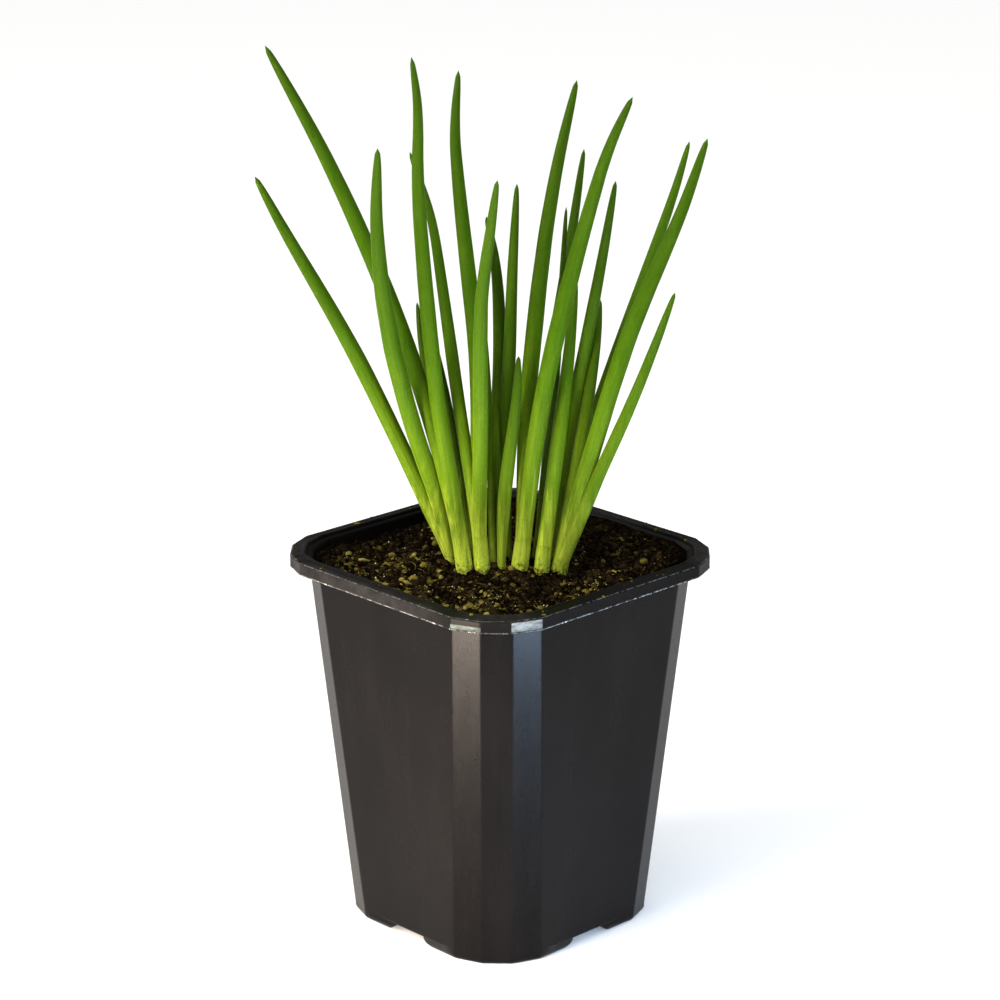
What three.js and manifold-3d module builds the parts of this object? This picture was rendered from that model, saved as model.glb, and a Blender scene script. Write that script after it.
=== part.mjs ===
// Potted welsh onions: a square nursery pot of black plastic with a rolled rim and
// four corner feet, its fill of compost, and a clump of young plants. Each plant is
// one shoot that stands in the compost and the round leaves that part from its top.
//
// Millimetres, +Z up. The origin is on the ground under the middle of the pot, and
// the pot's sides lie along X and Y. The clump has a turned frame of its own, because
// its leaves fan out along the pot's diagonal.

import * as THREE from 'three';
import { mergeVertices } from 'three/addons/utils/BufferGeometryUtils.js';
import Module from 'manifold-3d';

const wasm = await Module();
wasm.setup();

// ---------------------------------------------------------------- driving dimensions

const RIM_SIDE = 107.4; // across the outside of the rim of a pot sold as 11 cm
const POT_HEIGHT = 121.7;
const BASE_SIDE = 80; // across the outside of the wall, at the ground
const WALL = 1.2;
const FLOOR = 1.4;
const RIM_OVERHANG = 4.4;
const RIM_DROP = 4.1; // height of the rim's outer band
const LIP_RISE = 0.6; // how far the rim slopes up from its band to the pot's mouth
const FACET = 9.6; // width of each flat facet of a corner, the same from foot to rim
const FACETS = 3; // facets that turn one corner
const ARCH = { width: 24, crown: 13.6, height: 3.2 }; // the gap between two feet
const DRAIN = { radius: 3, spacing: 22 };

const SOIL_LEVEL = 116.2;
const SOIL_BANK = 4.2; // how much higher the compost lies against the +Y wall
const SOIL_WAVES = 0.6;
const GAP = 0.3; // clearance between pieces that touch

const CLUMP_TURN = THREE.MathUtils.degToRad(46);
const BURIED = 12; // how deep a shoot goes into the compost
const PARTING = 0.8; // how far along its shoot a leaf starts

// The clump, in its own frame: X across the fan of leaves, Y towards its back. A shoot
// comes out of the compost "at" a point and ends at its "top". A leaf goes by its "way"
// to its tip, and "width" is the diameter at the thickest place.
const CLUMP = [
  {
    at: [-14.5, 1], top: [-16, 1, 121], width: 3.6,
    leaves: [
      { width: 5.2, way: [[-26, 1, 144], [-45.3, 1, 186], [-66.3, 0, 225], [-74.5, 0, 241]] },
      {
        width: 5.6,
        way: [[-21.5, -3, 146], [-25.9, -6, 160], [-34, -14, 197], [-36.8, -23, 230], [-36, -30, 256]],
      },
    ],
  },
  {
    at: [-11, -6], top: [-15, -6, 142], width: 4.7,
    leaves: [
      { width: 5.6, way: [[-21.5, -4, 166], [-34, 1, 202], [-52.7, 5, 245], [-71, 6, 280]] },
      {
        width: 4.9,
        way: [[-18.5, -8, 166], [-22.3, -11, 205], [-24.7, -14, 243], [-24.5, -14, 266], [-26.3, -13, 280]],
      },
    ],
  },
  {
    at: [-9.5, 5], top: [-11, 5, 128], width: 3,
    leaves: [
      { width: 3.1, way: [[-12, 4, 140], [-16.5, 6, 168], [-22.2, 10, 194]] },
      { width: 3.2, way: [[-18, 10, 154], [-24.2, 15, 181], [-26, 18, 197]] },
    ],
  },
  {
    at: [-5.5, -6.5], top: [-7.5, -7, 140], width: 4.4,
    leaves: [
      { width: 4.1, way: [[-12, -4, 165], [-17.3, 8, 200], [-21.5, 17, 225], [-28, 22, 244]] },
      { width: 4.8, way: [[-6, -10, 160], [-5.6, -18, 207], [-3.2, -23, 227], [-0.8, -28, 246]] },
      { width: 5.2, way: [[-7, -2, 184], [-11, 12, 218], [-14, 24, 250], [-12.9, 30, 268]] },
    ],
  },
  {
    at: [-2, -4.5], top: [-3, -3, 130], width: 2.4,
    leaves: [{ width: 2.2, way: [[-3, 0, 148], [-3.4, 3, 170], [-4.6, 5, 193]] }],
  },
  {
    at: [0.5, -6.5], top: [0.5, -6.5, 130], width: 2.6,
    leaves: [{ width: 4.3, way: [[1.5, -7.5, 142], [3.8, -8.5, 162], [5.2, -9, 175], [5.7, -9.5, 187]] }],
  },
  {
    at: [-0.5, -1], top: [-1, 1, 132], width: 2.8,
    leaves: [{ width: 4.9, way: [[-1, 4, 150], [0, 10, 184], [-1.5, 16, 211], [-4.3, 20, 224]] }],
  },
  {
    at: [2.5, 2], top: [1.5, 2, 132], width: 2.8,
    leaves: [{ width: 4.3, way: [[1.2, 3, 153], [3, 4, 185], [3.7, 6, 207], [5.2, 8, 237]] }],
  },
  {
    at: [6, -6.5], top: [9, -6.5, 139], width: 4.8,
    leaves: [
      {
        width: 5.5,
        way: [[11, -8, 160], [16.9, -11, 193], [29.3, -16, 243], [33.1, -17, 255], [39.3, -18, 269]],
      },
      { width: 5.3, way: [[8, -3, 162], [10, 2, 186], [13.5, 8, 217], [17.4, 11, 241], [23.5, 14, 268]] },
    ],
  },
  {
    at: [13, -7], top: [15, -7, 134], width: 4.4,
    leaves: [{ width: 4.7, way: [[17, -6, 150], [20.8, -2, 181], [22.6, 2, 199], [23.4, 4, 208]] }],
  },
  {
    at: [12, 5], top: [14, 7, 132], width: 3.6,
    leaves: [
      { width: 3.1, way: [[14, 6, 142], [16, 7, 159], [18.4, 9, 178]] },
      { width: 4.2, way: [[15, 13, 144], [17, 24, 180], [22.4, 32, 214], [26.4, 36, 242]] },
      { width: 2.8, way: [[15.9, 11, 155], [18.5, 15, 189], [20.6, 20, 227]] },
    ],
  },
  {
    at: [18.5, -6.5], top: [21, -7, 128], width: 4.8,
    leaves: [
      { width: 5.4, way: [[29.5, -9, 160], [40, -9, 195], [55, -8, 232], [62.5, -6, 254]] },
      { width: 4.3, way: [[23, -5, 143], [27.4, -1, 171], [30, 3, 189], [31, 6, 201]] },
      { width: 3.9, way: [[30.8, -11, 150], [40.7, -13, 174], [47.2, -15, 192], [52.9, -17, 209]] },
    ],
  },
  {
    at: [17, 2], top: [19, 2.5, 128], width: 3.8,
    leaves: [
      { width: 4.3, way: [[21, 2, 154], [26.8, 0, 190], [31.2, -3, 216], [35, -6, 241]] },
      { width: 4.3, way: [[28.4, 7, 159], [39, 10, 190], [54, 13, 234], [58.2, 14, 249]] },
    ],
  },
];

// ---------------------------------------------------------------- worked-out sizes

const FACET_TURN = Math.PI / 2 / (FACETS + 1);
const RIM_UNDER = POT_HEIGHT - LIP_RISE - RIM_DROP;
const WALL_TOP_SIDE = RIM_SIDE - 2 * RIM_OVERHANG;
const BAND_TOP = POT_HEIGHT - LIP_RISE;
const OVERCUT = 2; // how far a cutter runs past the face that it cuts

// ---------------------------------------------------------------- solids

/** A closed three.js geometry as a solid that can be joined and cut. */
function toSolid(geometry) {
  geometry.deleteAttribute('normal');
  geometry.deleteAttribute('uv');
  const merged = mergeVertices(geometry, 1e-4);
  return new wasm.Manifold(new wasm.Mesh({
    numProp: 3,
    vertProperties: new Float32Array(merged.attributes.position.array),
    triVerts: new Uint32Array(merged.index.array),
  }));
}

/** A solid as a three.js geometry. */
function toGeometry(solid) {
  const mesh = solid.getMesh();
  const geometry = new THREE.BufferGeometry();
  geometry.setAttribute('position', new THREE.BufferAttribute(mesh.vertProperties, 3));
  geometry.setIndex(new THREE.BufferAttribute(mesh.triVerts, 1));
  geometry.computeVertexNormals();
  return geometry;
}

/** One solid with each of the others cut away. */
function cutAway(solid, others) {
  return others.reduce((left, other) => left.subtract(other), solid);
}

// ---------------------------------------------------------------- the pot's section

/** The pot's outline at one height: a square whose corners turn in equal facets. */
function potOutline(side, facet) {
  const turns = Array.from({ length: FACETS }, (_, i) => FACET_TURN * (i + 1));
  const reach = facet * turns.reduce((sum, turn) => sum + Math.cos(turn), 0);
  const outline = [];
  for (let corner = 0; corner < 4; corner += 1) {
    const point = new THREE.Vector2(side / 2, side / 2 - reach);
    const pivot = new THREE.Vector2(0, 0);
    outline.push(point.clone().rotateAround(pivot, corner * Math.PI / 2));
    for (const turn of turns) {
      point.add(new THREE.Vector2(-Math.sin(turn) * facet, Math.cos(turn) * facet));
      outline.push(point.clone().rotateAround(pivot, corner * Math.PI / 2));
    }
  }
  return outline;
}

/** The outline of the pot's wall at height z, moved outwards by offset. */
function wallOutline(z, offset) {
  const side = BASE_SIDE + (WALL_TOP_SIDE - BASE_SIDE) * z / RIM_UNDER;
  const facet = FACET + 2 * offset * Math.tan(FACET_TURN / 2);
  return potOutline(side + 2 * offset, facet);
}

/** A closed solid from one outline at z0 to another, with as many points, at z1. */
function loft(lower, upper, z0, z1) {
  const shape = new THREE.Shape(lower);
  const geometry = new THREE.ExtrudeGeometry(shape, { depth: z1 - z0, bevelEnabled: false });
  const position = geometry.attributes.position;
  for (let i = 0; i < position.count; i += 1) {
    if (position.getZ(i) > 0) {
      const here = new THREE.Vector2(position.getX(i), position.getY(i));
      const match = lower.findIndex((point) => point.distanceTo(here) < 1e-3);
      position.setXY(i, upper[match].x, upper[match].y);
    }
  }
  geometry.translate(0, 0, z0);
  return toSolid(geometry);
}

/** The space inside the wall's outline moved by offset, between two heights. */
function wallLoft(offset, z0, z1) {
  return loft(wallOutline(z0, offset), wallOutline(z1, offset), z0, z1);
}

// ---------------------------------------------------------------- feet and drainage

/** Half of the gap between two feet, whose lower corners are rounded, from its middle. */
function halfArch(margin) {
  const half = ARCH.width / 2;
  const crown = ARCH.crown / 2 + margin;
  const foot = new THREE.EllipseCurve(
    half, ARCH.height, half - crown, ARCH.height - margin, -Math.PI / 2, -Math.PI, true,
  );
  const points = [new THREE.Vector2(half, -OVERCUT), ...foot.getPoints(5)];
  if (margin > 0) {
    points.push(new THREE.Vector2(crown, ARCH.height + margin));
  }
  return points;
}

/** The two crossing channels under the pot, grown by a margin on all sides. */
function crossChannels(margin) {
  const right = halfArch(margin);
  const left = right.map((point) => new THREE.Vector2(-point.x, point.y)).reverse();
  const options = { depth: RIM_SIDE, bevelEnabled: false };
  const along = new THREE.ExtrudeGeometry(new THREE.Shape([...right, ...left]), options);
  along.rotateX(Math.PI / 2);
  along.translate(0, RIM_SIDE / 2, 0);
  const across = along.clone().rotateZ(Math.PI / 2);
  return toSolid(along).add(toSolid(across));
}

/** The round drain holes: one in the middle and one in each arm of the channels. */
function drainHoles() {
  const places = [[0, 0]];
  for (const reach of [-DRAIN.spacing, DRAIN.spacing]) {
    places.push([reach, 0], [0, reach]);
  }
  return places.map(([x, y]) => {
    const hole = new THREE.CylinderGeometry(DRAIN.radius, DRAIN.radius, 4 * ARCH.height, 12);
    return toSolid(hole.rotateX(Math.PI / 2).translate(x, y, ARCH.height));
  });
}

// ---------------------------------------------------------------- pot

/** The rim: a band that hangs outside the wall, and a top that slopes to the mouth. */
function rimSolid() {
  const bandOutline = potOutline(RIM_SIDE, FACET);
  const lipOutline = wallOutline(POT_HEIGHT, 0);
  const band = loft(bandOutline, bandOutline, RIM_UNDER, BAND_TOP);
  const slope = loft(bandOutline, lipOutline, BAND_TOP, POT_HEIGHT);
  const grooveFacet = FACET - 2 * WALL * Math.tan(FACET_TURN / 2);
  const grooveOutline = potOutline(RIM_SIDE - 2 * WALL, grooveFacet);
  const groove = loft(grooveOutline, grooveOutline, RIM_UNDER - OVERCUT, BAND_TOP - WALL);
  return band.add(slope).subtract(groove);
}

function potSolid() {
  const shell = wallLoft(0, 0, BAND_TOP).add(rimSolid());
  const cavity = wallLoft(-WALL, FLOOR, POT_HEIGHT + OVERCUT).subtract(crossChannels(FLOOR));
  return cutAway(shell, [cavity, crossChannels(0), ...drainHoles()]);
}

// ---------------------------------------------------------------- compost

/** Height of the compost's surface: gentle waves, banked up against the +Y wall. */
function groundAt(x, y) {
  const bank = SOIL_BANK * (Math.max(0, y) / (WALL_TOP_SIDE / 2)) ** 2;
  const waves = Math.sin(x / 7 + 1) * Math.cos(y / 9) + 0.6 * Math.sin((x - 2 * y) / 11);
  return SOIL_LEVEL + bank + SOIL_WAVES * waves;
}

/** A block whose top follows the compost's surface. */
function groundBlock() {
  const cells = 18;
  const block = new THREE.BoxGeometry(RIM_SIDE, RIM_SIDE, SOIL_LEVEL, cells, cells, 1);
  block.translate(0, 0, SOIL_LEVEL / 2);
  const position = block.attributes.position;
  for (let i = 0; i < position.count; i += 1) {
    if (position.getZ(i) > SOIL_LEVEL / 2) {
      position.setZ(i, groundAt(position.getX(i), position.getY(i)));
    }
  }
  return toSolid(block);
}

function compostSolid(sockets) {
  const fill = wallLoft(-WALL - GAP, FLOOR + GAP, POT_HEIGHT).intersect(groundBlock());
  return cutAway(fill, [crossChannels(FLOOR + GAP), ...sockets]);
}

// ---------------------------------------------------------------- shoots and leaves

const CURVE_STEPS = 100;
const SHOOT_STATIONS = [0, 0.08, 0.3, 0.55, 0.8, 0.94, 0.99];
const LEAF_STATIONS = [0, 0.08, 0.18, 0.3, 0.42, 0.54, 0.66, 0.76, 0.85, 0.92, 0.97, 0.99];

/** A shoot is a little swollen in the compost and rounds off at its top. */
function shootFullness(t) {
  const swelling = 1 + 0.12 * Math.cos(Math.PI * Math.min(1, t / 0.5)) ** 2;
  return t < 0.9 ? swelling : Math.sqrt(1 - ((t - 0.9) / 0.1) ** 2);
}

/** A leaf is thickest near its middle, and its tip is long and pointed. */
function leafFullness(t) {
  const neck = 0.75 + 0.25 * Math.min(1, t / 0.4);
  const taper = Math.min(1, (1 - t) / 0.45) ** 0.33;
  return neck * taper;
}

/** A turned form of varying width, bent to follow a route of points. */
function bentTurning({ route, width, fullness, stations, sides, margin }) {
  const curve = new THREE.CatmullRomCurve3(route, false, 'centripetal');
  const frames = curve.computeFrenetFrames(CURVE_STEPS);
  const profile = stations.map((t) => new THREE.Vector2(fullness(t) * width / 2 + margin, t));
  profile.unshift(new THREE.Vector2(0, 0));
  profile.push(new THREE.Vector2(0, 1));
  const geometry = new THREE.LatheGeometry(profile, sides);
  const position = geometry.attributes.position;
  for (let i = 0; i < position.count; i += 1) {
    const t = position.getY(i);
    const step = Math.round(t * CURVE_STEPS);
    const centre = curve.getPointAt(t);
    centre.addScaledVector(frames.binormals[step], position.getX(i));
    centre.addScaledVector(frames.normals[step], position.getZ(i));
    position.setXYZ(i, centre.x, centre.y, centre.z);
  }
  return toSolid(geometry);
}

/** The points that a shoot follows, from its buried end to its top. */
function shootRoute({ at, top }) {
  const foot = new THREE.Vector3(at[0], at[1], SOIL_LEVEL - BURIED);
  const collar = new THREE.Vector3(at[0], at[1], SOIL_LEVEL);
  return [foot, collar, new THREE.Vector3(...top)];
}

/** The points that a leaf follows, from inside its shoot to its tip. */
function leafRoute(shoot, leaf) {
  const shootCurve = new THREE.CatmullRomCurve3(shootRoute(shoot), false, 'centripetal');
  const start = shootCurve.getPointAt(PARTING);
  return [start, ...leaf.way.map((point) => new THREE.Vector3(...point))];
}

function shootSolid(shoot, margin) {
  return bentTurning({
    route: shootRoute(shoot), width: shoot.width, margin,
    fullness: shootFullness, stations: SHOOT_STATIONS, sides: 10,
  });
}

function leafSolid(shoot, leaf, margin) {
  return bentTurning({
    route: leafRoute(shoot, leaf), width: leaf.width, margin,
    fullness: leafFullness, stations: LEAF_STATIONS, sides: 8,
  });
}

/** The one piece that is left of a leaf where its neighbours press on it. */
function mainPiece(solid) {
  return solid.decompose().sort((a, b) => b.volume() - a.volume())[0];
}

// ---------------------------------------------------------------- the scene

const POT_PLASTIC = { color: 0x2a2a2c, roughness: 0.42, metalness: 0 };
const COMPOST = { color: 0x1c1510, roughness: 0.95, metalness: 0 };
const SHOOT_GREEN = { color: 0x9db83f, roughness: 0.45, metalness: 0 };
const LEAF_GREEN = { color: 0x4b7d16, roughness: 0.4, metalness: 0 };

function addPiece(group, name, solid, finish) {
  const material = new THREE.MeshStandardMaterial(finish);
  const mesh = new THREE.Mesh(toGeometry(solid), material);
  mesh.name = name;
  group.add(mesh);
}

/** Shoots and leaves, in the clump's own frame, each clear of those before it. */
function clumpGroup() {
  const group = new THREE.Group();
  group.rotation.z = CLUMP_TURN;
  const taken = CLUMP.map((shoot) => shootSolid(shoot, GAP));
  CLUMP.forEach((shoot, i) => {
    addPiece(group, `shoot_${i + 1}`, shootSolid(shoot, 0), SHOOT_GREEN);
    shoot.leaves.forEach((leaf, j) => {
      const solid = mainPiece(cutAway(leafSolid(shoot, leaf, 0), taken));
      addPiece(group, `shoot_${i + 1}_leaf_${j + 1}`, solid, LEAF_GREEN);
      taken.push(leafSolid(shoot, leaf, GAP));
    });
  });
  return group;
}

/** The holes that the shoots stand in, in the pot's frame. */
function shootSockets() {
  const degrees = THREE.MathUtils.radToDeg(CLUMP_TURN);
  return CLUMP.map((shoot) => shootSolid(shoot, GAP).rotate([0, 0, degrees]));
}

const pottedOnions = new THREE.Group();
addPiece(pottedOnions, 'pot', potSolid(), POT_PLASTIC);
addPiece(pottedOnions, 'compost', compostSolid(shootSockets()), COMPOST);
pottedOnions.add(clumpGroup());

export default pottedOnions;
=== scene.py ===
"""Dresses a potted clump of welsh onions: the nursery pot, its compost and the plants.

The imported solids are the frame. Every piece is built around them, in metres, with the
origin on the ground under the middle of the pot and +Z up.
"""

import math

import bmesh
import bpy
import numpy as np
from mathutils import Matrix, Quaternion, Vector, noise


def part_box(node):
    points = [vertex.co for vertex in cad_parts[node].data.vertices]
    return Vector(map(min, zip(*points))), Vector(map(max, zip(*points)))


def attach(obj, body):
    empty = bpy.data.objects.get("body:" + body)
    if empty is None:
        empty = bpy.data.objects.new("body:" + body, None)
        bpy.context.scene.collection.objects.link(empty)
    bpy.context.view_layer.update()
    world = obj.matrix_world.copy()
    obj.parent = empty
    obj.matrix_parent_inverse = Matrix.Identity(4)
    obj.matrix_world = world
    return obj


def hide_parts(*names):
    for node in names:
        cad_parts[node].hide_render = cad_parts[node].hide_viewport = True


bl_info = {
    "name": "Potted Welsh Onions",
    "version": (1, 0, 0),
    "blender": (4, 5, 0),
    "location": "View3D > Sidebar > Onions",
    "description": "Builds a square nursery pot of welsh onions around its solids",
    "category": "Object",
}

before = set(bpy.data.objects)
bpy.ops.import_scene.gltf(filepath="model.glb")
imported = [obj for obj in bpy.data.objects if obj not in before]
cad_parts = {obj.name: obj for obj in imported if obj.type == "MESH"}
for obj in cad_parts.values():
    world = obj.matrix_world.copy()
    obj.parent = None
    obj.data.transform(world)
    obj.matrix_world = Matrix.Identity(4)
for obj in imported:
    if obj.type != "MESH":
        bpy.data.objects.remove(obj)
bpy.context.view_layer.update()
BODY = "root"
MM = 0.001
POT_LOW, POT_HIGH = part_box("pot")
LEAF_NODES = sorted(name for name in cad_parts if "_leaf_" in name)
SHOOT_NODES = sorted(
    (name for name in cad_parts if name.startswith("shoot_") and "_leaf_" not in name),
    key=lambda name: int(name.split("_")[1]),
)


# ------------------------------------------------------------------ sizes and colours


def number(name, description, default, **more):
    return bpy.props.FloatProperty(
        name=name, description=description, default=default, **more
    )


def length(name, description, default):
    return number(name, description, default, unit="LENGTH", precision=5)


def share(name, description, default):
    return number(name, description, default, min=0, max=1, subtype="FACTOR")


def angle(name, description, degrees):
    return number(name, description, math.radians(degrees), subtype="ANGLE")


def colour(name, description, default):
    return bpy.props.FloatVectorProperty(
        name=name, description=description, default=default, size=3, min=0, max=1,
        subtype="COLOR",
    )


def count(name, description, default):
    return bpy.props.IntProperty(name=name, description=description, default=default)


class OnionPotSizes(bpy.types.PropertyGroup):
    rim_side: length("Rim side", "Width across the outside of the rim", POT_HIGH.x - POT_LOW.x)
    height: length("Height", "From the feet to the pot's mouth", POT_HIGH.z)
    base_side: length("Base side", "Width across the wall at the ground", 80 * MM)
    overhang: length("Overhang", "How far the rim stands out from the wall", 4.4 * MM)
    rim_drop: length("Rim drop", "Height of the rim's outer band", 4.1 * MM)
    lip_rise: length("Lip rise", "Rise from the band up to the mouth", 0.6 * MM)
    wall: length("Wall", "Thickness of the wall", 1.2 * MM)
    facet: length("Facet", "Width of one flat facet of a corner", 9.6 * MM)
    edge_radius: length("Edge radius", "Rounding between two facets", 2.2 * MM)
    arch_width: length("Arch width", "Gap between two feet, at the ground", 24 * MM)
    arch_crown: length("Arch crown", "Flat top of the gap between two feet", 13.6 * MM)
    arch_height: length("Arch height", "Height of the gap between two feet", 3.2 * MM)
    drain_radius: length("Drain radius", "Radius of a drain hole", 3 * MM)
    drain_spacing: length("Drain spacing", "From the middle to an outer drain hole", 22 * MM)
    plastic: colour("Plastic", "Colour of the pot's plastic", (0.0012, 0.001, 0.0011))
    dust: colour("Dust", "Colour of the dry film on the plastic", (0.005, 0.0039, 0.0035))
    rim_dust: colour("Rim dust", "Colour of the dry soil on the rim", (0.0185, 0.0165, 0.0158))
    # This colour paints the real rubbed edges and also a painted highlight on one facet of the
    # rim's band.
    scuff_and_facet_highlight: colour("Scuff", "Colour where the plastic is rubbed pale", (0.4, 0.42, 0.4))
    # Painted highlight: pale patches of this colour stand in for the side lights' reflection
    # on a facet of the rim's band.
    facet_highlight: colour("Rub", "Colour of a faintly rubbed facet of the rim", (0.27, 0.33, 0.26))
    fleck: colour("Fleck", "Colour of the chips along the rim's edges", (0.75, 0.74, 0.7))


class OnionCompostSizes(bpy.types.PropertyGroup):
    level: length("Level", "Height of the compost's surface", 116.2 * MM)
    half_width: length("Half width", "From the middle to the wall at the rim", 49.3 * MM)
    heap: length("Heap", "How much higher it lies in the -X -Y corner", 2.4 * MM)
    bank: length("Bank", "How much higher it lies against the +Y wall", 4.2 * MM)
    waves: length("Waves", "Height of its gentle waves", 0.6 * MM)
    lumps: length("Lumps", "Height of its lumps", 1.5 * MM)
    mound: length("Mound", "How much it is drawn up round each shoot", 0.4 * MM)
    gap: length("Gap", "How far it has sunk along the two near walls", 3.4 * MM)
    clods: count("Clods", "How many big clods lie on it", 106)
    granules: count("Granules", "How many coarse granules lie on it", 1420)
    husks: count("Husks", "How many yellow husks lie on it", 200)
    crumbs: count("Crumbs", "How many fine crumbs lie on it", 9450)
    chips: count("Chips", "How many flakes of bark lie on it", 310)
    fibres: count("Fibres", "How many loose root fibres lie on it", 310)
    # Partly painted glints: besides real pale grit, these white grains stand in for the glints
    # of the wet compost.
    grit: count("Grit", "How many pale grains of grit lie on it", 310)
    spilt: count("Spilt", "How many crumbs lie on the pot's rim", 110)
    dark: colour("Dark", "Colour of wet compost", (0.0022, 0.0015, 0.0009))
    brown: colour("Brown", "Colour of bark", (0.025, 0.0165, 0.0075))
    olive: colour("Olive", "Colour of half-rotted husks", (0.13, 0.105, 0.016))
    straw: colour("Straw", "Colour of dry chips", (0.26, 0.215, 0.06))
    # Partly painted glints: this near-white colour serves the pale grit and also the wet
    # compost's glints.
    grit_and_glint_colour: colour("Mineral", "Colour of the grit", (0.6, 0.58, 0.5))


class OnionPlantSizes(bpy.types.PropertyGroup):
    sides: count("Sides", "Faces round a leaf", 24)
    rings: count("Rings", "Rings along a leaf, twice as many as along a shoot", 96)
    fullness: number("Fullness", "A leaf's width as a share of its solid's", 1.04)
    neck: share("Neck", "A leaf's width inside its shoot, as a share of the shoot's", 0.93)
    taper: share("Taper", "Where along a leaf its taper starts", 0.55)
    blunt: share("Blunt", "How blunt a leaf's taper is, 1 a straight cone", 0.33)
    shoot_taper: share("Shoot taper", "Where along a shoot it starts to narrow", 0.6)
    shoot_blunt: share("Shoot blunt", "How blunt a shoot's taper is", 0.75)
    swelling: share("Swelling", "How much a shoot swells at the compost", 0.1)
    dents: length("Dents", "Depth of the dents in a shoot", 0.1 * MM)
    pale: colour("Pale", "Colour of a shoot at the compost", (0.54, 0.65, 0.06))
    young: colour("Young", "Colour of the lower leaf", (0.11, 0.182, 0.0056))
    grown: colour("Grown", "Colour of the upper leaf", (0.034, 0.084, 0.0008))
    tip: colour("Tip", "Colour of a leaf's tip", (0.024, 0.06, 0.0016))
    bloom: colour("Bloom", "Colour of the waxy bloom", (0.09, 0.16, 0.011))
    soiled: colour("Soiled", "Colour of the soil splashed on the shoots", (0.03, 0.022, 0.008))


class OnionStageSizes(bpy.types.PropertyGroup):
    lens: number("Lens", "Focal length", 120.94, unit="CAMERA")
    camera_reach: length("Camera reach", "Level distance from pot to camera", 1.0028)
    camera_height: length("Camera height", "Height above the ground", 0.45975)
    azimuth: angle("Azimuth", "Turn of the camera round the pot", 46.02)
    pitch: angle("Pitch", "How far the camera looks down", 17.8)
    floor: colour("Floor", "Colour of the floor", (0.95, 0.95, 0.95))


# ------------------------------------------------------------------ node trees


class Wiring:
    """Adds nodes to a tree. A keyword in capitals feeds a socket, others set the node."""

    def __init__(self, tree):
        self.tree = tree

    def feed(self, socket, value):
        if isinstance(value, bpy.types.NodeSocket):
            self.tree.links.new(value, socket)
        else:
            socket.default_value = value

    def socket(self, sockets, which):
        open_ones = [s for s in sockets if s.enabled]
        if isinstance(which, int):
            return open_ones[which]
        return next(s for s in open_ones if s.name == which)

    def add(self, kind, out=0, **values):
        """Adds a node and returns one of its outputs, or the node itself if out is None."""
        node = self.tree.nodes.new(kind)
        for key in [k for k in values if k[0].islower()]:
            setattr(node, key, values[key])
        for key in [k for k in values if k[0].isupper()]:
            self.feed(self.socket(node.inputs, key.replace("_", " ")), values[key])
        return self.socket(node.outputs, out) if out is not None else node

    def operate(self, kind, operation, values, out):
        """Adds a node of maths, whose sockets go by their order."""
        node = self.add(kind, None, operation=operation)
        for socket, value in zip([s for s in node.inputs if s.enabled], values):
            self.feed(socket, value)
        return node.outputs[out]

    def maths(self, operation, *values):
        return self.operate("ShaderNodeMath", operation, values, 0)

    def vector(self, operation, *values, out=0):
        return self.operate("ShaderNodeVectorMath", operation, values, out)

    def times(self, product, *others):
        """The product of two or more values."""
        for other in others:
            product = self.maths("MULTIPLY", product, other)
        return product

    def span(self, value, low, high, to_low=0.0, to_high=1.0, smooth=False):
        """Maps low..high of a value to to_low..to_high, held at the ends."""
        return self.add(
            "ShaderNodeMapRange", Value=value, From_Min=low, From_Max=high,
            To_Min=to_low, To_Max=to_high,
            interpolation_type="SMOOTHSTEP" if smooth else "LINEAR",
        )

    def mix(self, factor, a, b):
        """Mixes two colours, each a socket or a plain red, green and blue."""
        a, b = [rgba(c) if not isinstance(c, bpy.types.NodeSocket) else c for c in (a, b)]
        return self.add(
            "ShaderNodeMix", data_type="RGBA", clamp_factor=True, Factor=factor, A=a, B=b
        )

    def grain(self, coordinates, scale, detail=3.0, roughness=0.5, out="Fac"):
        """Cloudy noise from 0 to 1."""
        return self.add(
            "ShaderNodeTexNoise", out=out, Vector=coordinates, Scale=scale,
            Detail=detail, Roughness=roughness,
        )

    def stretched(self, coordinates, x, y, z):
        return self.vector("MULTIPLY", coordinates, (x, y, z))

    def xyz(self, vector):
        """The X, Y and Z sockets of a vector."""
        return self.add("ShaderNodeSeparateXYZ", out=None, Vector=vector).outputs

    def point(self, x=0.0, y=0.0, z=0.0):
        return self.add("ShaderNodeCombineXYZ", X=x, Y=y, Z=z)

    def named(self, name, kind="FLOAT"):
        """A mesh's own attribute, in a geometry tree."""
        return self.add("GeometryNodeInputNamedAttribute", Name=name, data_type=kind)

    def store(self, geometry, name, value, kind="FLOAT", domain="POINT"):
        return self.add(
            "GeometryNodeStoreNamedAttribute", Geometry=geometry, Name=name, Value=value,
            data_type=kind, domain=domain,
        )

    def random(self, low, high, seed, kind="FLOAT"):
        return self.add(
            "FunctionNodeRandomValue", Min=low, Max=high, Seed=seed, data_type=kind
        )


def rgba(rgb):
    return (*rgb, 1.0)


FLOAT, COLOUR, VECTOR = "NodeSocketFloat", "NodeSocketColor", "NodeSocketVector"
GEOMETRY, WHOLE, MATERIAL = "NodeSocketGeometry", "NodeSocketInt", "NodeSocketMaterial"


def new_group(name, kind, inputs, outputs):
    """An empty node group with named sockets. Returns its wiring and its input sockets.

    An input is its socket's type, or a number that is its default."""
    tree = bpy.data.node_groups.new(name, kind)
    for label, given in inputs.items():
        plain = WHOLE if isinstance(given, int) else FLOAT
        socket_type = given if isinstance(given, str) else plain
        socket = tree.interface.new_socket(label, in_out="INPUT", socket_type=socket_type)
        if given != socket_type:
            socket.default_value = given
    for label, socket_type in outputs.items():
        tree.interface.new_socket(label, in_out="OUTPUT", socket_type=socket_type)
    start = tree.nodes.new("NodeGroupInput")
    return Wiring(tree), {s.name: s for s in start.outputs if s.name}


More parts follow.
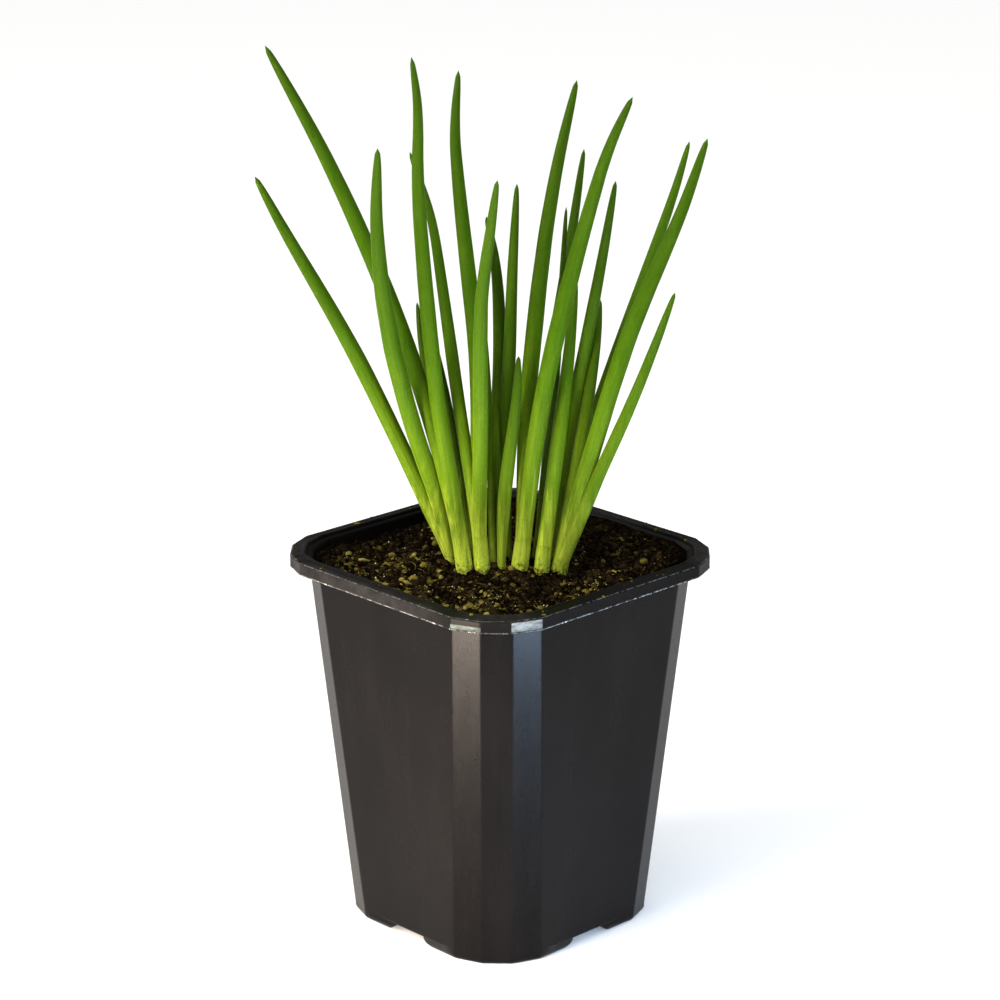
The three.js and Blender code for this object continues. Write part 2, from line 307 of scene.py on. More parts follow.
def close_group(w, **results):
    end = w.tree.nodes.new("NodeGroupOutput")
    for label, value in results.items():
        w.feed(end.inputs[label], value)


def use_group(w, name, **values):
    """Places a shader node group in a tree and returns its output sockets by name."""
    node = w.tree.nodes.new("ShaderNodeGroup")
    node.node_tree = bpy.data.node_groups[name]
    for key, value in values.items():
        w.feed(node.inputs[key], value)
    return node.outputs


def patches(w, coordinates, scale, cover, softness):
    return use_group(
        w, "patches", Coordinates=coordinates, Scale=scale, Cover=cover, Softness=softness
    )["Mask"]


def new_material(name):
    """A material with its Principled shader, ready to be wired."""
    material = bpy.data.materials.new(name)
    material.use_nodes = True
    return material, Wiring(material.node_tree), material.node_tree.nodes["Principled BSDF"]


def dress(w, shader, color, roughness, bump, strength, depth, specular):
    """Feeds a shader its colour and roughness and a bump, and sets its specular level."""
    w.feed(shader.inputs["Base Color"], color)
    w.feed(shader.inputs["Roughness"], roughness)
    normal = w.add("ShaderNodeBump", Strength=strength, Distance=depth, Height=bump)
    w.feed(shader.inputs["Normal"], normal)
    shader.inputs["Specular IOR Level"].default_value = specular


def object_coordinates(w):
    return w.add("ShaderNodeTexCoord", out="Object")


def attribute(w, name, out="Fac"):
    return w.add("ShaderNodeAttribute", out=out, attribute_name=name)


# ------------------------------------------------------------------ shared effects


def fine_bump_group():
    """Fine unevenness of a surface at two scales, as a height."""
    w, given = new_group(
        "fine_bump", "ShaderNodeTree",
        {"Coordinates": VECTOR, "Coarse": 200.0, "Fine": 1500.0, "Balance": 0.5},
        {"Height": FLOAT},
    )
    coarse = w.grain(given["Coordinates"], given["Coarse"], 4.0)
    fine = w.grain(given["Coordinates"], given["Fine"], 3.0, 0.6)
    height = w.add(
        "ShaderNodeMix", data_type="FLOAT", Factor=given["Balance"], A=coarse, B=fine
    )
    close_group(w, Height=height)


def patches_group():
    """A mask of irregular patches that cover about a given share of a surface."""
    w, given = new_group(
        "patches", "ShaderNodeTree",
        {"Coordinates": VECTOR, "Scale": 100.0, "Cover": 0.3, "Softness": 0.08},
        {"Mask": FLOAT},
    )
    cloud = w.grain(given["Coordinates"], given["Scale"], 6.0, 0.62)
    line = w.span(given["Cover"], 0.0, 1.0, 0.72, 0.28)
    low = w.maths("SUBTRACT", line, given["Softness"])
    high = w.maths("ADD", line, given["Softness"])
    close_group(w, Mask=w.span(cloud, low, high))


# ------------------------------------------------------------------ pieces


def scene_object(name, data):
    made = bpy.data.objects.new(name, data)
    bpy.context.scene.collection.objects.link(made)
    return made


def link_piece(name, mesh, material, slot, *nodes):
    """A finished mesh as a piece of the object, standing for the CAD nodes given."""
    piece = scene_object(name, mesh)
    if material is not None:
        mesh.materials.clear()
        mesh.materials.append(material)
    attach(piece, BODY)
    if nodes:
        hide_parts(*nodes)


def mesh_of(build, name):
    """Turns a bmesh into a mesh, and frees it."""
    mesh = bpy.data.meshes.new(name)
    build.to_mesh(mesh)
    build.free()
    return mesh


def settled(source, name):
    """The evaluated shape of an object as a plain mesh. The source object is removed."""
    bpy.context.view_layer.update()
    graph = bpy.context.evaluated_depsgraph_get()
    mesh = bpy.data.meshes.new_from_object(
        source.evaluated_get(graph), preserve_all_data_layers=True, depsgraph=graph
    )
    mesh.name = name
    bpy.data.objects.remove(source)
    if not mesh.polygons:
        raise RuntimeError(f"{name} came out empty")
    return mesh


def run_nodes(source, group, name, **inputs):
    """Runs a Geometry Nodes group on an object and returns the result as a mesh."""
    modifier = source.modifiers.new(group.name, "NODES")
    modifier.node_group = group
    for item in group.interface.items_tree:
        key = item.name.replace(" ", "_")
        if item.item_type == "SOCKET" and item.in_out == "INPUT" and key in inputs:
            modifier[item.identifier] = inputs[key]
    return settled(source, name)


# ------------------------------------------------------------------ the pot's outline

CORNER_TURN = math.pi / 8  # between one facet of a corner and the next
FACETS = 3
ROUNDING_STEPS = 3


def corner_points(side, facet):
    """The sixteen corners of the pot's outline, a square whose corners turn in facets."""
    turns = [CORNER_TURN * (i + 1) for i in range(FACETS)]
    reach = facet * sum(math.cos(turn) for turn in turns)
    points = []
    for quarter in range(4):
        point = Vector((side / 2, side / 2 - reach, 0))
        spin = Quaternion((0, 0, 1), quarter * math.pi / 2)
        corner = [point.copy()]
        for turn in turns:
            point += Vector((-math.sin(turn), math.cos(turn), 0)) * facet
            corner.append(point.copy())
        for each in corner:
            each.rotate(spin)
            points.append(each)
    return points


def band_heights(sizes):
    """Foot and top of the rim's outer band."""
    top = sizes.height - sizes.lip_rise
    return top - sizes.rim_drop, top


def wall_side(sizes, z):
    """Width across the outside of the wall at a height."""
    foot, _ = band_heights(sizes)
    top_side = sizes.rim_side - 2 * sizes.overhang
    return sizes.base_side + (top_side - sizes.base_side) * z / foot


def make_rounder(ring, corner_start, radius, roundness):
    """Moves the corners of a ring towards plain round ones. Each starts corner_start from
    the middle along its side."""
    for point in ring:
        out = Vector((abs(point.x) - corner_start, abs(point.y) - corner_start, 0))
        if out.x > 0 and out.y > 0:
            blended = out.lerp(out.normalized() * radius, roundness)
            point.x = math.copysign(corner_start + blended.x, point.x)
            point.y = math.copysign(corner_start + blended.y, point.y)


def pot_ring(sizes, z, offset, wall_z, roundness):
    """One closed ring round the pot: the wall's outline at wall_z, moved out by offset.

    The rim's facets are as wide as the wall's, so only an inward offset changes them.
    Roundness blends the faceted corners into plain round ones, as at the mouth."""
    side = wall_side(sizes, wall_z) + 2 * offset
    facet = sizes.facet + 2 * min(offset, 0) * math.tan(CORNER_TURN / 2)
    corners = corner_points(side, facet)
    tangent = sizes.edge_radius * math.tan(CORNER_TURN / 2)
    support = 0.5 * MM
    ring = []
    for i, corner in enumerate(corners):
        before = (corners[i - 1] - corner).normalized()
        after = (corners[(i + 1) % len(corners)] - corner).normalized()
        start, end = corner + before * tangent, corner + after * tangent
        ring.append(start + before * support)
        for step in range(ROUNDING_STEPS + 1):
            t = step / ROUNDING_STEPS
            ring.append(start * (1 - t) ** 2 + corner * 2 * t * (1 - t) + end * t**2)
        ring.append(end + after * support)
    if roundness:
        make_rounder(ring, corners[0].y, side / 2 - corners[0].y, roundness)
    for point in ring:
        point.z = z
    return ring


def bridge(build, low, high):
    """Joins two rings of as many points with a band of faces."""
    for i in range(len(low)):
        j = (i + 1) % len(low)
        build.faces.new((low[i], low[j], high[j], high[i]))


def skin(rings, wears):
    """A closed mesh through rings of equal length, capped flat at both ends."""
    build = bmesh.new()
    edge = build.verts.layers.float.new("edge")
    rows = []
    for ring, wear in zip(rings, wears):
        row = [build.verts.new(point) for point in ring]
        for vert in row:
            vert[edge] = wear
        rows.append(row)
    for low, high in zip(rows, rows[1:]):
        bridge(build, low, high)
    build.faces.new(list(reversed(rows[0])))
    build.faces.new(rows[-1])
    bmesh.ops.recalc_face_normals(build, faces=build.faces)
    mesh = mesh_of(build, "skin")
    mesh.shade_smooth()
    return mesh


# ------------------------------------------------------------------ the pot


def pot_profile(sizes):
    """Rings from under the floor, up the wall, over the rim and down inside to the floor.

    Each is (height, offset from the wall, the wall height it follows, roundness, wear)."""
    foot, top = band_heights(sizes)
    mouth, out, wall, arch = sizes.height, sizes.overhang, sizes.wall, sizes.arch_height
    floor = arch + 1.4 * MM
    # Each stretch has a height, an offset from the wall and the wall height it follows, or
    # None for its own. Its rings have a rise and an offset in mm, roundness and wear.
    stretches = (
        # under the floor and round its edge
        (0, 0, 0, (0, -2.6, 0.2, 0), (0, -1.7, 0.2, 0.1), (0.15, -0.9, 0.2, 0.4),
         (0.6, -0.3, 0.2, 0.4)),
        # up the feet and the wall
        (0, 0, None, (1.3, -0.04, 0.12, 0.1), (2.1, 0, 0, 0)),
        (arch, 0, None, (0.5, 0, 0, 0), (1, 0, 0, 0)),
        (foot / 2, 0, None, (0, 0, 0, 0)),
        (foot, 0, None, (-1.2, 0, 0, 0), (-0.4, 0.05, 0, 0)),
        # round the hollow under the rim
        (top - wall, 0, foot, (-0.4, 0.1, 0, 0), (0, 0.5, 0, 0)),
        (top - wall, out - wall, foot, (0, -0.4, 0, 0), (-0.4, 0, 0, 0)),
        (foot, out - wall, foot, (0.5, 0, 0, 0.1)),
        # round the foot of the rim's band and up to its top
        (foot, out, foot, (0.06, -0.9, 0, 0.6), (0, -0.5, 0, 1), (0.03, -0.16, 0, 1),
         (0.18, 0, 0, 1), (0.42, 0, 0, 0.6), (0.8, -0.04, 0, 0.1)),
        (top, out, foot, (-0.7, -0.04, 0, 0.05), (-0.28, -0.02, 0, 0.4),
         (-0.06, -0.16, 0, 0.7), (0.02, -0.45, 0, 0.4), (0.06, -1, 0.05, 0.1),
         (0.25, -2.3, 0.4, 0)),
        # over the rolled lip of the mouth
        (mouth, 0, foot, (-0.3, 1.45, 0.9, 0), (-0.36, 1.1, 1, 0.1), (-0.1, 0.8, 1, 0.2),
         (0, 0.4, 1, 0.3), (-0.04, 0.05, 1, 0.3), (-0.26, -0.14, 1, 0.2),
         (-0.8, -0.22, 1, 0.05), (-1.1, -0.28, 1, 0.1), (-1.3, -0.62, 0.85, 0.2)),
        # down the inside to the floor
        (mouth, -wall, foot, (-1.7, 0, 0.55, 0.1), (-2.4, 0, 0.1, 0), (-3.2, 0, 0, 0)),
        (foot, -wall, None, (-2, 0, 0, 0)),
        (floor, -wall, None, (2, 0, 0, 0), (0, -1.5, 0, 0)),
    )
    rows = []
    for height, offset, follows, *rings in stretches:
        for rise, shift, roundness, wear in rings:
            z = height + rise * MM
            wall_z = z if follows is None else follows
            rows.append((z, offset + shift * MM, wall_z, roundness, wear))
    return rows


def arch_profile(sizes):
    """One side of the gap between two feet: from under the ground up its curve to the top."""
    half, crown, height = sizes.arch_width / 2, sizes.arch_crown / 2, sizes.arch_height
    foot, steps = 0.4 * MM, 8
    # Under the ground and just above it the gap flares out, which softens the feet's edges.
    side = [(half + 6 * MM, -3 * MM), (half + 5 * MM, -0.25 * MM),
            (half + 3 * MM, 0.02 * MM), (half + 1.2 * MM, 0.2 * MM)]
    for step in range(1, steps + 1):
        turn = step / steps * math.pi / 2
        rise = foot + (height - foot) * (1 - math.cos(turn))
        side.append((half - (half - crown) * math.sin(turn), rise))
    side.append((crown - 0.15 * MM, height + 0.05 * MM))
    return side


def arch_cutter(sizes):
    """The two crossing channels that the feet leave between them, as one mesh."""
    side = arch_profile(sizes)
    profile = side + [(-x, z) for x, z in reversed(side)]
    build = bmesh.new()
    for turned in (False, True):
        ends = []
        for reach in (-sizes.base_side, sizes.base_side):
            spots = [(-reach, x, z) if turned else (x, reach, z) for x, z in profile]
            ends.append([build.verts.new(spot) for spot in spots])
        bridge(build, *ends)
        build.faces.new(list(reversed(ends[0])))
        build.faces.new(ends[1])
    bmesh.ops.recalc_face_normals(build, faces=build.faces)
    return mesh_of(build, "channels")


def drain_cutter(sizes):
    """Round plugs where the drain holes are."""
    build = bmesh.new()
    reach = sizes.drain_spacing
    for x, y in ((0, 0), (reach, 0), (-reach, 0), (0, reach), (0, -reach)):
        made = bmesh.ops.create_cone(
            build, cap_ends=True, segments=32, radius1=sizes.drain_radius,
            radius2=sizes.drain_radius, depth=20 * MM,
        )
        bmesh.ops.translate(build, verts=made["verts"], vec=(x, y, 0))
    return mesh_of(build, "drains")


def on_facet(w, sizes, place, toward, low, high):
    """A mask of the rim's facet that faces a direction, between two shares of its height."""
    corners = corner_points(sizes.rim_side, sizes.facet)
    middles = [(a + b) / 2 for a, b in zip(corners, [*corners[1:], corners[0]])]
    middle = max(middles, key=lambda point: point.dot(Vector((*toward, 0))))
    away = w.vector("DISTANCE", w.stretched(place, 1, 1, 0), tuple(middle), out="Value")
    foot, _ = band_heights(sizes)
    bottom, top = foot + low * sizes.rim_drop, foot + high * sizes.rim_drop
    fade, half = 0.3 * MM, sizes.facet * 0.5
    z = w.xyz(place)["Z"]
    near = w.span(away, half, half + fade, 1.0, 0.0)
    over, under = w.span(z, bottom, bottom + fade), w.span(z, top - fade, top, 1.0, 0.0)
    return w.times(near, w.times(over, under))


def rim_soil(w, sizes, place, on_rim):
    """A mask of the dry soil on the rim: on its top at the corners, and along the -Y side."""
    spot = w.xyz(place)
    _, top = band_heights(sizes)
    inward = w.maths("MINIMUM", w.maths("ABSOLUTE", spot["X"]), w.maths("ABSOLUTE", spot["Y"]))
    corner = w.span(inward, sizes.rim_side * 0.3, sizes.rim_side * 0.37)
    flat_top = w.span(spot["Z"], top - 0.3 * MM, top - 0.05 * MM)
    front = w.times(w.span(spot["X"], 20 * MM, 35 * MM, 1.0, 0.0),
                    w.span(spot["Y"], -sizes.rim_side * 0.47, -sizes.rim_side * 0.493))
    dirt = w.maths("MAXIMUM", w.times(flat_top, corner), front)
    settled_soil = patches(w, place, scale=170.0, cover=0.62, softness=0.2)
    return w.times(settled_soil, w.times(on_rim, dirt))


def pot_material(sizes):
    """Black moulded plastic with a dry dusty film, rubbed edges, pale flecks and painted
    highlights.
    """
    material, w, shader = new_material("pot_plastic")
    place, edge = object_coordinates(w), attribute(w, "edge")
    spot = w.xyz(place)
    film = patches(w, place, scale=26.0, cover=0.5, softness=0.3)
    upright = w.stretched(place, 1, 1, 0.12)
    streaks = patches(w, upright, scale=110.0, cover=0.42, softness=0.22)
    dusty = w.times(w.maths("ADD", film, streaks), 0.5)
    body = w.mix(dusty, sizes.plastic, sizes.dust)
    foot, _ = band_heights(sizes)
    on_rim = w.span(spot["Z"], foot - 0.6 * MM, foot + 0.2 * MM)
    body = w.mix(rim_soil(w, sizes, place, on_rim), body, sizes.rim_dust)
    # Two of the +X -Y corner's facets of the band get a painted highlight, pale patches that
    # stand in for the side lights' reflection: where, from and to what share of the band's
    # height, how much of them, and the colour.
    for toward, low, high, cover, tint in (
        ((0.92, -0.38), 0.12, 0.9, 0.6, sizes.scuff_and_facet_highlight),
        ((0.38, -0.92), 0.12, 0.5, 0.7, sizes.facet_highlight),
    ):
        level = w.stretched(place, 0.6, 0.6, 1.8)
        highlight_patches = patches(w, level, scale=380.0, cover=cover, softness=0.16)
        patch = w.times(highlight_patches, on_facet(w, sizes, place, toward, low, high))
        body = w.mix(w.times(patch, 0.42), body, tint)
    toward_corner = w.maths("SUBTRACT", spot["X"], spot["Y"])
    keen = w.span(toward_corner, 80 * MM, 100 * MM, 1.0, 0.3)
    rubbed = patches(w, place, scale=700.0, cover=0.46, softness=0.1)
    wear = w.times(rubbed, keen, w.span(edge, 0.35, 1.0))
    body = w.mix(w.times(wear, 0.45), body, sizes.scuff_and_facet_highlight)
    chipped = patches(w, place, scale=900.0, cover=0.2, softness=0.03)
    flecks = w.times(chipped, w.span(edge, 0.5, 0.95))
    rough = w.maths("ADD", w.span(dusty, 0.0, 1.0, 0.22, 0.32),
                    w.times(w.maths("MAXIMUM", wear, on_rim), 0.15))
    bump = use_group(w, "fine_bump", Coordinates=place, Coarse=90.0, Fine=1300.0, Balance=0.3)
    dress(w, shader, w.mix(flecks, body, sizes.fleck), rough, bump["Height"],
          strength=0.35, depth=0.2 * MM, specular=0.068)
    return material


class ONION_OT_pot(bpy.types.Operator):
    """Makes the faceted pot with its rolled rim, feet and drain holes"""

    bl_idname = "onion.pot"
    bl_label = "Nursery pot"

    def execute(self, context):
        sizes = context.scene.onion_pot
        rows = pot_profile(sizes)
        rings = [pot_ring(sizes, *place) for *place, _ in rows]
        shell = scene_object("shell", skin(rings, [wear for *_, wear in rows]))
        cutters = [scene_object(m.name, m) for m in (arch_cutter(sizes), drain_cutter(sizes))]
        for cutter in cutters:
            cut = shell.modifiers.new(cutter.name, "BOOLEAN")
            cut.operation, cut.solver, cut.use_self = "DIFFERENCE", "EXACT", True
            cut.object = cutter
        mesh = settled(shell, "nursery_pot")
        for cutter in cutters:
            bpy.data.objects.remove(cutter)
        link_piece("nursery_pot", mesh, pot_material(sizes), "pot_plastic", "pot")
        return {"FINISHED"}


# ------------------------------------------------------------------ level sections

NO_AREA = 1e-12  # in square metres, the most that counts as none


def crossing(points, rise, corners, over):
    """Where a level plane crosses a triangle: two ends, with the solid on their left."""
    ends = []
    for a, b in ((0, 1), (1, 2), (2, 0)):
        if over[a] != over[b]:
            p, q = corners[a], corners[b]
            t = rise[p] / (rise[p] - rise[q])
            ends.append(points[p][:2] * (1 - t) + points[q][:2] * t)
    first, second, third = points[corners]
    outward = np.cross(second - first, third - first)[:2]
    run = ends[1] - ends[0]
    if run[0] * outward[1] - run[1] * outward[0] > 0:
        ends.reverse()
    return ends


def sections(node, heights):
    """Middle and area of a solid's level section at each height, area 0 where it has none."""
    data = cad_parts[node].data
    points = np.array([v.co for v in data.vertices])
    data.calc_loop_triangles()
    triangles = np.array([t.vertices for t in data.loop_triangles])
    found = []
    for z in heights:
        rise = points[:, 2] - z
        area, moment = 0.0, np.zeros(2)
        for corners, over in zip(triangles, rise[triangles] > 0):
            if over.all() or not over.any():
                continue
            start, end = crossing(points, rise, corners, over)
            cross = start[0] * end[1] - end[0] * start[1]
            area += cross / 2
            moment += (start + end) * cross / 6
        middle = moment / area if abs(area) > NO_AREA else np.zeros(2)
        found.append((Vector((*middle, z)), abs(area)))
    return found


# ------------------------------------------------------------------ compost

CELLS = 170  # along each side of the bed's top
BED_SEED = 4  # without a seed, noise_vector bends the clumps differently in each run
UPWARD = 0.35  # upward share of a face's normal, above which loose bits can lie on it


def ground_height(soil, x, y):
    """Height of the compost's smooth surface at a place."""
    bank = soil.bank * (np.maximum(0, y) / soil.half_width) ** 2
    mx, my = x / MM, y / MM
    waves = np.sin(mx / 7 + 1) * np.cos(my / 9) + 0.6 * np.sin((mx - 2 * my) / 11)
    corner = np.clip(-(x + y) / (2 * soil.half_width) - 0.45, 0, 1) / 0.4
    return soil.level + bank + soil.heap * corner + soil.waves * waves


def outline_reach(corners, angles):
    """Distance from the middle to a convex outline, at each angle."""
    beyond, grazing = 1.0, 1e-3
    reach = np.full_like(angles, beyond)
    for corner, after in zip(corners, [*corners[1:], corners[0]]):
        along = after - corner
        normal = Vector((along.y, -along.x, 0)).normalized()
        toward = np.cos(angles - math.atan2(normal.y, normal.x))
        hit = corner.dot(normal) / np.maximum(toward, grazing)
        reach = np.minimum(reach, np.where(toward > grazing, hit, beyond))
    return reach


def bed_noise(x, y):
    """Fractal lumps, rounded clumps of about 4 mm, and broad swells."""
    noise.seed_set(BED_SEED)
    spots = [Vector((px, py, 0)) for px, py in zip(x, y)]
    bent = [spot + noise.noise_vector(spot / (5 * MM)) * 1.6 * MM for spot in spots]
    lumps = np.array([noise.fractal(spot / (4.5 * MM), 0.7, 2.2, 5) for spot in spots])
    clumps = np.array([0.45 - noise.voronoi(spot / (4.2 * MM))[0][0] for spot in bent])
    broad = np.array([noise.noise(spot / (17 * MM) + Vector((0, 0, 0.2))) for spot in spots])
    return lumps, clumps, broad


def closed_bed(x, y, z, floor, shrink):
    """A mesh from a square grid of points, closed by walls and a smaller flat floor."""
    row = CELLS + 1
    faces = [
        (i * row + j, i * row + j + 1, (i + 1) * row + j + 1, (i + 1) * row + j)
        for i in range(CELLS) for j in range(CELLS)
    ]
    border = [
        *range(row),
        *(i * row + CELLS for i in range(1, row)),
        *(CELLS * row + j for j in range(CELLS - 1, -1, -1)),
        *(i * row for i in range(CELLS - 1, 0, -1)),
    ]
    start, size = len(x), len(border)
    verts = [*zip(x, y, z), *((x[k] * shrink, y[k] * shrink, floor) for k in border)]
    for a in range(size):
        b = (a + 1) % size
        faces.append((border[b], border[a], start + a, start + b))
    faces.append(tuple(start + a for a in reversed(range(size))))
    mesh = bpy.data.meshes.new("compost_bed")
    mesh.from_pydata(verts, [], faces)
    return mesh


def add_layer(mesh, name, values, rest):
    """A number on each vertex: the values given, then the rest for those after them."""
    every = np.full(len(mesh.vertices), rest)
    every[:len(values)] = values
    mesh.attributes.new(name, "FLOAT", "POINT").data.foreach_set("value", every)


def compost_mesh(soil, sizes):
    """A closed bed of compost whose lumpy top fills the pot's mouth.

    Each point of its top stores the room left to the wall, and how pale its bits are, with
    painted shade near the walls and in the creases between clumps and painted light
    towards the lit -Y side."""
    line = np.linspace(-1, 1, CELLS + 1)
    u, v = [part.ravel() for part in np.meshgrid(line, line)]
    outer = np.maximum(np.abs(u), np.abs(v))
    inner = wall_side(sizes, soil.level) - 1.2 * sizes.wall
    outline = outline_reach(corner_points(inner, sizes.facet), np.arctan2(v, u))
    reach = outline * (outer / np.maximum(np.hypot(u, v), 1e-9))
    x, y = u * reach, v * reach
    z = ground_height(soil, x, y)
    for node in SHOOT_NODES:
        foot, area = sections(node, [soil.level])[0]
        away = np.hypot(x - foot.x, y - foot.y) - math.sqrt(area / math.pi)
        z = z + soil.mound * np.exp(-((np.maximum(away, 0) / (2.6 * MM)) ** 2))
    lumps, clumps, broad = bed_noise(x, y)
    # The lumps are lower in the last 5% before the wall, and the gap along the near walls
    # starts at the last 9%.
    rim_fade = np.clip((1 - outer) / 0.05, 0.3, 1)
    z = z + soil.lumps * (lumps * 0.6 + clumps * 1.5 + broad * 0.7) * rim_fade
    near_wall = np.clip(1 - (1 - np.maximum(u, -v)) / 0.09, 0, 1)
    z = z - soil.gap * near_wall * (0.8 + broad)
    floor = sizes.arch_height + 1.7 * MM
    shrink = (wall_side(sizes, floor) - 2.4 * sizes.wall) / inner
    mesh = closed_bed(x, y, z, floor, shrink)
    room = (1 - outer) * inner / 2
    # Painted shade and light in how pale the bits are: darker near the walls and in the
    # creases between clumps, paler on the clump tops and towards the lit -Y side; the broad
    # noise gives the compost's own patches.
    painted_wall_shade = np.clip(room / (7 * MM), 0.3, 1)
    painted_crease_shade = np.clip(1.0 + 1.3 * clumps, 0.55, 1.45)
    painted_front_light_and_patches = np.clip(0.84 + (0.1 * x - 0.4 * y) / soil.half_width + 0.6 * broad, 0.4, 1.4)
    add_layer(mesh, "room", room, 0.0)
    add_layer(mesh, "region", painted_wall_shade * painted_crease_shade * painted_front_light_and_patches, 1.0)
    build = bmesh.new()
    build.from_mesh(mesh)
    bmesh.ops.recalc_face_normals(build, faces=build.faces)
    build.to_mesh(mesh)
    build.free()
    mesh.shade_smooth()
    return mesh


def compost_colours_group(soil):
    """Colour of a bit of compost: a tint from 0, wet and dark, to 1, dry straw, and pale grit,
    partly painted glints, above that. The painted shade of the region layer lowers the tint."""
    w, given = new_group(
        "compost_colours", "ShaderNodeTree", {"Coordinates": VECTOR, "Tint": 0.3},
        {"Color": COLOUR, "Roughness": FLOAT},
    )
    speck = w.grain(given["Coordinates"], 1100.0, 5.0, 0.75)
    tint = w.maths("ADD", given["Tint"], w.span(speck, 0.3, 0.7, -0.24, 0.2))
    shade = soil.dark
    for low, high, paler in (
        (0.0, 0.4, soil.brown), (0.4, 0.75, soil.olive), (0.75, 1.0, soil.straw),
        (1.1, 1.35, soil.grit_and_glint_colour),
    ):
        shade = w.mix(w.span(tint, low, high), shade, paler)
    close_group(w, Color=shade, Roughness=w.span(tint, 0.0, 1.0, 0.55, 0.9))


def compost_material(name, strewn):
    """Compost, each bit in its own tint where it is strewn."""
    material, w, shader = new_material(name)
    place = object_coordinates(w)
    if strewn:
        tint = attribute(w, "tint")
    else:
        # The bed's tint follows the region layer, which holds painted shade near the walls and
        # in the creases and painted light towards the -Y side.
        cloud = w.grain(place, 160.0, 6.0, 0.65)
        tint = w.times(attribute(w, "region"), w.span(cloud, 0.4, 0.8, 0.0, 0.6))
    look = use_group(w, "compost_colours", Coordinates=place, Tint=tint)
    bump = use_group(w, "fine_bump", Coordinates=place, Coarse=700.0, Fine=2600.0, Balance=0.4)
    dress(w, shader, look["Color"], look["Roughness"], bump["Height"],
          strength=0.9, depth=0.5 * MM, specular=0.0)
    return material


def bit_sizes(w, given):
    """A random size for each bit that keeps it clear of the wall, and its scale."""
    chance = w.random(0.0, 1.0, given["Seed"])
    free = w.span(w.maths("POWER", chance, 2.2), 0.0, 1.0, given["Smallest"], given["Largest"])
    spare = w.maths("DIVIDE", w.times(w.named("room"), 2.0),
                    w.maths("ADD", given["Length"], given["Raggedness"]))
    size = w.maths("MINIMUM", free, spare)
    long, flat = w.times(size, given["Length"]), w.times(size, given["Flatness"])
    return size, w.point(long, size, flat)


def bit_tints(w, given):
    """A random tint for each bit, lowered by the painted shade in the region layer, that only
    the pale grit, partly painted glints, takes past dry straw.
    """
    chance = w.random(0.0, 1.0, w.maths("ADD", given["Seed"], 7))
    own = w.span(w.maths("POWER", chance, given["Tint Skew"]), 0.0, 1.0,
                 given["Tint Low"], given["Tint High"])
    return w.maths("MINIMUM", w.times(w.named("region"), own),
                   w.maths("MAXIMUM", given["Tint High"], 1.0))


def scatter_group(name, shape):
    """Strews bits over the top of a surface. shape(wiring) gives the bit to copy."""
    w, given = new_group(
        name, "GeometryNodeTree",
        {"Ground": GEOMETRY, "Area": 0.01, "Count": 100, "Smallest": 0.001,
         "Largest": 0.002, "Flatness": 0.3, "Length": 1.0, "Sink": 0.3, "Raggedness": 0.3,
         "Tint Low": 0.0, "Tint High": 1.0, "Tint Skew": 1.0, "Seed": 1,
         "Material": MATERIAL},
        {"Bits": GEOMETRY},
    )
    upward = w.vector("DOT_PRODUCT", w.add("GeometryNodeInputNormal"), (0, 0, 1), out="Value")
    flat = w.add("GeometryNodeFieldOnDomain", Value=upward, data_type="FLOAT", domain="FACE")
    top = w.add("FunctionNodeCompare", A=flat, B=UPWARD, data_type="FLOAT",
                operation="GREATER_THAN")
    points = w.add(
        "GeometryNodeDistributePointsOnFaces", Mesh=given["Ground"], Selection=top,
        Density=w.maths("DIVIDE", given["Count"], given["Area"]), Seed=given["Seed"],
    )
    tilt, half_turn = 0.5, 3.1416
    turn = w.random((-tilt, -tilt, -half_turn), (tilt, tilt, half_turn), given["Seed"],
                    "FLOAT_VECTOR")
    size, scale = bit_sizes(w, given)
    bits = w.add("GeometryNodeInstanceOnPoints", Points=points, Instance=shape(w),
                 Rotation=turn, Scale=scale)
    depth = w.times(size, w.times(given["Sink"], -1.0))
    bits = w.add("GeometryNodeSetPosition", Geometry=bits, Offset=w.point(z=depth))
    bits = w.store(bits, "tint", bit_tints(w, given), domain="INSTANCE")
    bits = w.add("GeometryNodeRealizeInstances", Geometry=bits)
    spot = w.add("GeometryNodeInputPosition")
    push = w.vector("SUBTRACT", w.grain(spot, 700.0, 2.0, out="Color"), (0.5, 0.5, 0.5))
    ragged = w.vector("SCALE", push, w.times(given["Largest"], given["Raggedness"]))
    bits = w.add("GeometryNodeSetPosition", Geometry=bits, Offset=ragged)
    bits = w.add("GeometryNodeSetShadeSmooth", Geometry=bits)
    bits = w.add("GeometryNodeSetMaterial", Geometry=bits, Material=given["Material"])
    close_group(w, Bits=bits)
    return w.tree


def pebble(subdivisions):
    return lambda w: w.add(
        "GeometryNodeMeshIcoSphere", Radius=0.5, Subdivisions=subdivisions
    )


def bead(w):
    return w.add("GeometryNodeMeshUVSphere", Segments=8, Rings=5, Radius=0.5)


def flake(w):
    return w.add(
        "GeometryNodeMeshCube", Size=(1.0, 0.6, 0.5), Vertices_X=4, Vertices_Y=3, Vertices_Z=2
    )


def curl(w):
    """A thin fibre bent into part of a ring."""
    ring = w.add(
        "GeometryNodeCurveArc", Resolution=9, Radius=0.5, Start_Angle=0.0, Sweep_Angle=3.6
    )
    section = w.add("GeometryNodeCurvePrimitiveCircle", Resolution=5, Radius=0.045)
    return w.add("GeometryNodeCurveToMesh", Curve=ring, Profile_Curve=section, Fill_Caps=True)


def flat_area(mesh):
    """Area of the faces that bits can lie on."""
    return sum(face.area for face in mesh.polygons if face.normal.z > UPWARD)


